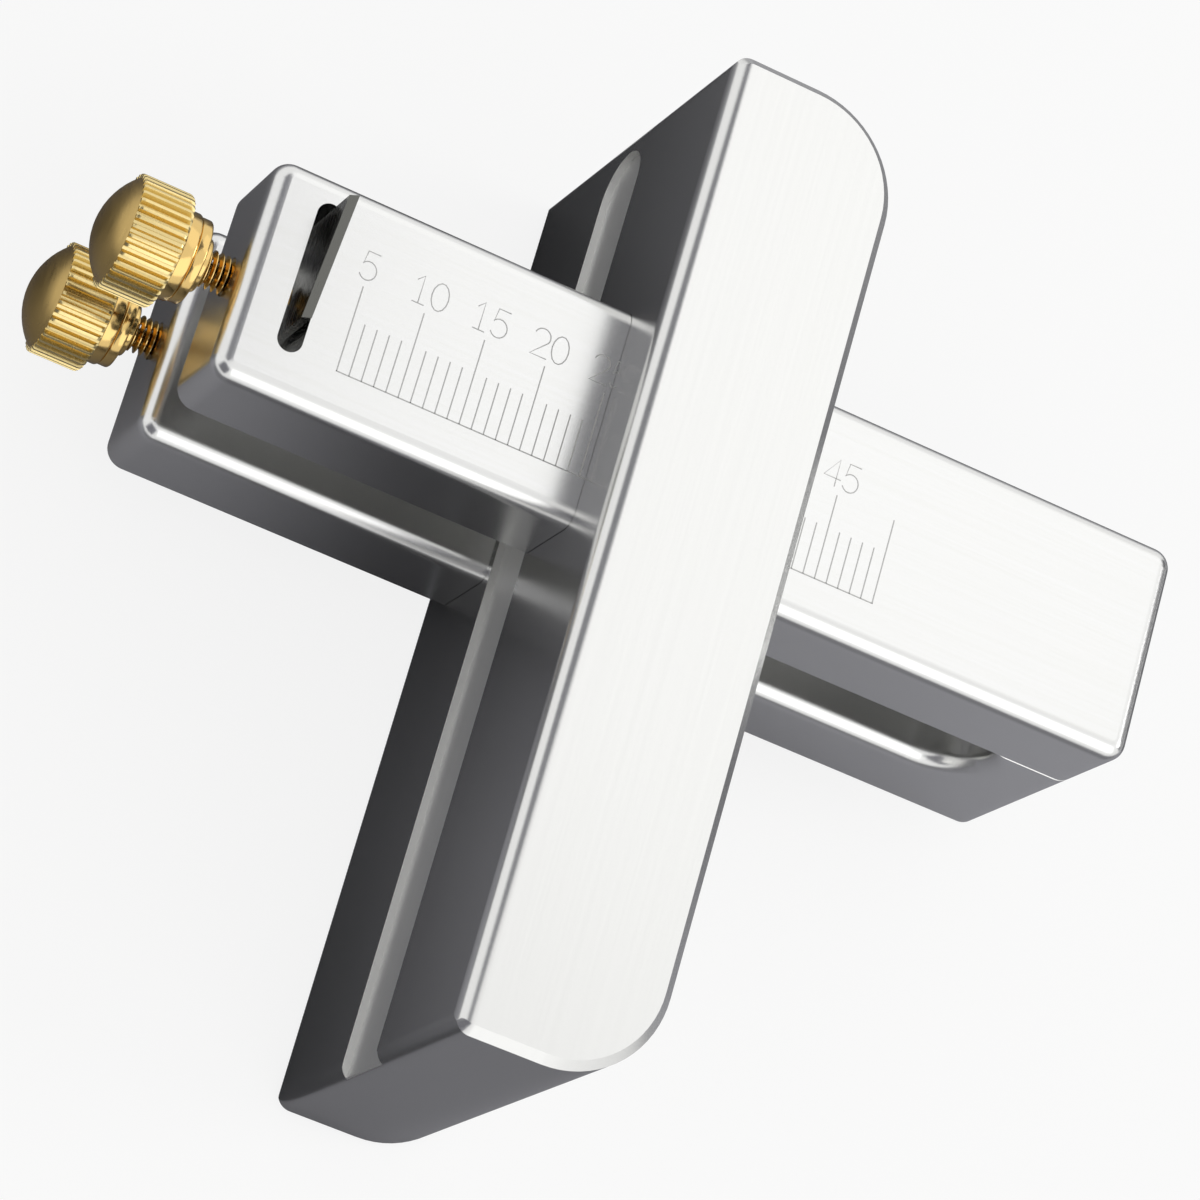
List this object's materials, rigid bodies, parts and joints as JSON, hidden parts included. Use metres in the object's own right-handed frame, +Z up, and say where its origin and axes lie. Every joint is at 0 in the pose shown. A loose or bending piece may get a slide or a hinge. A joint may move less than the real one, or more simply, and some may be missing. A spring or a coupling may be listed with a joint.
{
  "type": "marking gauge",
  "caption": "Metal marking gauge: a block fence on sliding bars with knife blades at their ends, held by knurled brass thumb screws.",
  "frame": {"origin": "centre of the fence's lower side face, which it rests on", "axes": "+X along the bars, from the blades to the tails; +Y along the fence, towards its short end; +Z up, through the two bars"},
  "size_m": [0.088, 0.079, 0.0375],
  "materials": {
    "anodised_fence": "satin natural anodised",
    "anodised_bars": "satin natural anodised",
    "blade_steel": "ground tool steel",
    "turned_brass": "turned and knurled, polished collar",
    "pad_brass": "turned",
    "black_steel": "black oxide"
  },
  "bodies": {
    "fence": {"fence_body": "anodised_fence"},
    "scale_bar": {"scale_bar": "anodised_bars"},
    "plain_bar": {"plain_bar": "anodised_bars"},
    "scale_blade": {"scale_blade": "blade_steel"},
    "scale_washer": {"scale_thumb_washer": "turned_brass"},
    "scale_thumb_screw": {"scale_thumb_screw": "turned_brass"},
    "scale_lock_pad": {"scale_lock_pad": "pad_brass"},
    "scale_lock_screw": {"scale_lock_screw": "black_steel"},
    "plain_blade": {"plain_blade": "blade_steel"},
    "plain_washer": {"plain_thumb_washer": "turned_brass"},
    "plain_thumb_screw": {"plain_thumb_screw": "turned_brass"},
    "plain_lock_pad": {"plain_lock_pad": "pad_brass"},
    "plain_lock_screw": {"plain_lock_screw": "black_steel"}
  },
  "joints": [
    {"name": "scale_bar_slide", "type": "slide", "parent": "fence", "child": "scale_bar", "axis": [1, 0, 0], "range_m": [-0.0245, 0.0235]},
    {"name": "scale_blade_slide", "type": "slide", "parent": "scale_bar", "child": "scale_blade", "axis": [0, 0, 1], "range_m": [-0.0039, 0.002]},
    {"name": "scale_thumb_travel", "type": "slide", "parent": "scale_bar", "child": "scale_washer", "axis": [-1, 0, 0], "range_m": [0, 0.001]},
    {"name": "scale_thumb_turn", "type": "hinge", "parent": "scale_washer", "child": "scale_thumb_screw", "pos_m": [-0.0369, 0.0105, 0.02625], "axis": [-1, 0, 0], "range_deg": [0, 720.5]},
    {"name": "scale_lock_travel", "type": "slide", "parent": "fence", "child": "scale_lock_pad", "axis": [0, 1, 0], "range_m": [0, 0.0007]},
    {"name": "scale_lock_turn", "type": "hinge", "parent": "scale_lock_pad", "child": "scale_lock_screw", "pos_m": [0, 0.0395, 0.02625], "axis": [0, 1, 0], "range_deg": [0, 360.5]},
    {"name": "plain_bar_slide", "type": "slide", "parent": "fence", "child": "plain_bar", "axis": [1, 0, 0], "range_m": [-0.0231, 0.0235]},
    {"name": "plain_blade_slide", "type": "slide", "parent": "plain_bar", "child": "plain_blade", "axis": [0, 0, -1], "range_m": [-0.0039, 0.002]},
    {"name": "plain_thumb_travel", "type": "slide", "parent": "plain_bar", "child": "plain_washer", "axis": [-1, 0, 0], "range_m": [0, 0.001]},
    {"name": "plain_thumb_turn", "type": "hinge", "parent": "plain_washer", "child": "plain_thumb_screw", "pos_m": [-0.0369, 0.0105, 0.00975], "axis": [-1, 0, 0], "range_deg": [0, 720.5]},
    {"name": "plain_lock_travel", "type": "slide", "parent": "fence", "child": "plain_lock_pad", "axis": [0, 1, 0], "range_m": [0, 0.0007]},
    {"name": "plain_lock_turn", "type": "hinge", "parent": "plain_lock_pad", "child": "plain_lock_screw", "pos_m": [0, 0.0395, 0.00975], "axis": [0, 1, 0], "range_deg": [0, 360.5]}
  ],
  "couplings": [
    {"joint": "scale_thumb_turn", "follows": "scale_thumb_travel", "rad_per_m": 12566},
    {"joint": "scale_lock_turn", "follows": "scale_lock_travel", "rad_per_m": 8976},
    {"joint": "plain_thumb_turn", "follows": "plain_thumb_travel", "rad_per_m": 12566},
    {"joint": "plain_lock_turn", "follows": "plain_lock_travel", "rad_per_m": 8976}
  ]
}
